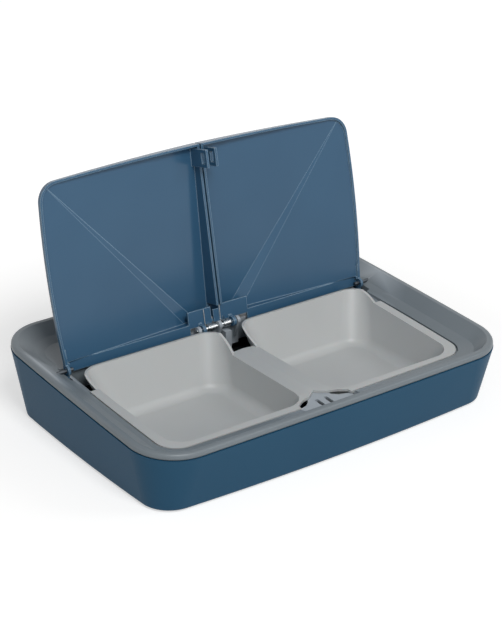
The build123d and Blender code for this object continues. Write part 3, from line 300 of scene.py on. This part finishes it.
# Solenoid frames and battery contacts: pressed steel strip, zinc and nickel plated, softly cloudy.
# The plating's spangle is a few millimetres across.
SPANGLE_MM = 4.0
plated_strip = new_material("plated_strip")
spangle = node(plated_strip, "ShaderNodeMapRange",
               {"Value": speckle(plated_strip, SPANGLE_MM), "To Min": 0.28, "To Max": 0.48})
finish(plated_strip,
       {"Base Color": drifting_colour(plated_strip, 5, "#A9AEB0", "#C3C7C8"), "Metallic": 1.0,
        "Roughness": spangle.outputs[0]})
dress(plated_strip, "left_solenoid", "right_solenoid", "battery_contacts")


# Solenoid windings: enamelled copper wire laid turn by turn across the bobbin.
# The wire is 0.3 mm; its turns are drawn about 1.6 mm apart so that they show.
def banded(material, pitch, distortion=0.0):
    """Straight bands across X, this many millimetres apart: the texture runs through 20 radians a unit."""
    where = node(material, "ShaderNodeTexCoord")
    bands = node(material, "ShaderNodeTexWave",
                 {"Vector": where.outputs["Object"], "Scale": 2 * math.pi * 1000 / (20 * pitch),
                  "Distortion": distortion}, bands_direction="X")
    return bands.outputs["Fac"]


WIRE_PITCH_MM = 1.579
WIRE_RELIEF = 0.0002
enamelled_copper = new_material("enamelled_copper")
turns = banded(enamelled_copper, WIRE_PITCH_MM, distortion=0.2)
coil_relief = node(enamelled_copper, "ShaderNodeBump",
                   {"Height": turns, "Strength": 0.5, "Distance": WIRE_RELIEF})
coil_tone = node(enamelled_copper, "ShaderNodeMix",
                 {"Factor": turns, TONE_A: linear("#8A4B2A"), TONE_B: linear("#C77D4E")},
                 data_type="RGBA")
finish(enamelled_copper,
       {"Base Color": coil_tone.outputs[MIXED_TONE], "Metallic": 0.8, "Roughness": 0.3,
        "Normal": coil_relief.outputs[0]})
dress(enamelled_copper, "left_coil", "right_coil")


# Latch chassis, battery box and switches: glass-filled nylon, moulded black and dull.
# The fibres at the skin break up the shine.
NYLON_FLECK_MM = 1.5
black_nylon = new_material("black_nylon")
nylon_shine = node(black_nylon, "ShaderNodeMapRange",
                   {"Value": speckle(black_nylon, NYLON_FLECK_MM), "To Min": 0.48, "To Max": 0.62})
finish(black_nylon,
       {"Base Color": drifting_colour(black_nylon, 20, "#222426", "#2B2D2F"),
        "Roughness": nylon_shine.outputs[0]})
dress(black_nylon, "latch_chassis", "battery_box", "tact_switches")


# Feet: four discs of black rubber, moulded and fixed under the base.
# They are the dullest thing on it, with a faint bloom.
BLOOM_MM = 3.0
foot_rubber = new_material("foot_rubber")
rubber_bloom = node(foot_rubber, "ShaderNodeMapRange",
                    {"Value": speckle(foot_rubber, BLOOM_MM), "To Min": 0.75, "To Max": 0.9})
finish(foot_rubber,
       {"Base Color": drifting_colour(foot_rubber, 6, "#1B1C1D", "#232425"),
        "Roughness": rubber_bloom.outputs[0], "Specular IOR Level": 0.3})
dress(foot_rubber, "rubber_feet")


# Latch pawls: natural acetal, off-white and slippery, so that they slide without grease.
# It is a little waxy and lets some light in.
ACETAL_FLOW_MM = 2.0
natural_acetal = new_material("natural_acetal")
acetal_shine = node(natural_acetal, "ShaderNodeMapRange",
                    {"Value": speckle(natural_acetal, ACETAL_FLOW_MM), "To Min": 0.3, "To Max": 0.42})
finish(natural_acetal,
       {"Base Color": drifting_colour(natural_acetal, 8, "#D8D5C8", "#E3E0D4"),
        "Roughness": acetal_shine.outputs[0], "IOR": 1.48, "Subsurface Weight": 0.1,
        "Subsurface Scale": 0.001})
dress(natural_acetal, "left_latch", "right_latch")


# Display window: clear acrylic, flush in the deck, polished on both faces.
# Fingertips leave faint smears on it.
SMEAR_MM = 12
clear_acrylic = new_material("clear_acrylic")
smear = node(clear_acrylic, "ShaderNodeMapRange",
             {"Value": speckle(clear_acrylic, SMEAR_MM), "To Min": 0.03, "To Max": 0.10})
finish(clear_acrylic,
       {"Base Color": linear("#E8EEF0"), "Roughness": smear.outputs[0], "IOR": 1.49,
        "Transmission Weight": 0.95})
dress(clear_acrylic, "display_window")


# Display panel: grey-green liquid-crystal glass, shown switched off.
# Its polariser film has faint upright lines, drawn about 2 mm apart so that they show.
LINE_PITCH_MM = 1.974
display_glass = new_material("display_glass")
glass_tone = node(display_glass, "ShaderNodeMix",
                  {"Factor": banded(display_glass, LINE_PITCH_MM),
                   TONE_A: linear("#838B7C"), TONE_B: linear("#8B9384")}, data_type="RGBA")
finish(display_glass, {"Base Color": glass_tone.outputs[MIXED_TONE], "Roughness": 0.18})
dress(display_glass, "lcd_panel")


# Timer board: glass-epoxy laminate under green solder resist; the weave shows faintly through it.
# The cloth's threads are about 0.5 mm apart, drawn at 1 mm.
WEAVE_MM = 1.0
RESIST_MM = 5.0
green_laminate = new_material("green_laminate")
board_place = node(green_laminate, "ShaderNodeTexCoord")
weave = node(green_laminate, "ShaderNodeTexChecker",
             {"Vector": board_place.outputs["Object"], "Color1": linear("#1D4A2C"),
              "Color2": linear("#225233"), "Scale": 1000 / WEAVE_MM})
board_shine = node(green_laminate, "ShaderNodeMapRange",
                   {"Value": speckle(green_laminate, RESIST_MM), "To Min": 0.25, "To Max": 0.38})
finish(green_laminate, {"Base Color": weave.outputs[0], "Roughness": board_shine.outputs[0]})
dress(green_laminate, "timer_circuit_board")


# Buttons: soft dark-grey elastomer caps, dull so that a fingertip doesn't slip.
# The caps' fine grain is drawn at 1 mm so that it shows.
CAP_GRAIN_MM = 1.0
CAP_RELIEF = 0.00005
soft_elastomer = new_material("soft_elastomer")
cap_grain = speckle(soft_elastomer, CAP_GRAIN_MM)
cap_relief = node(soft_elastomer, "ShaderNodeBump",
                  {"Height": cap_grain, "Strength": 0.3, "Distance": CAP_RELIEF})
cap_shine = node(soft_elastomer, "ShaderNodeMapRange",
                 {"Value": cap_grain, "To Min": 0.6, "To Max": 0.75})
finish(soft_elastomer,
       {"Base Color": drifting_colour(soft_elastomer, 5, "#2E3236", "#363A3F"),
        "Roughness": cap_shine.outputs[0], "Normal": cap_relief.outputs[0]})
dress(soft_elastomer, "mode_button", "set_button", "hour_button", "minute_button")


# Batteries: steel cans in a plain shrunk-on plastic sleeve.
# The sleeve is satin charcoal with nothing printed on it.
SLEEVE_MM = 3.0
plain_sleeve = new_material("plain_sleeve")
sleeve_shine = node(plain_sleeve, "ShaderNodeMapRange",
                    {"Value": speckle(plain_sleeve, SLEEVE_MM), "To Min": 0.25, "To Max": 0.35})
finish(plain_sleeve,
       {"Base Color": drifting_colour(plain_sleeve, 15, "#30343A", "#3A3F46"),
        "Roughness": sleeve_shine.outputs[0], "Coat Weight": 0.3})
dress(plain_sleeve, "batteries")
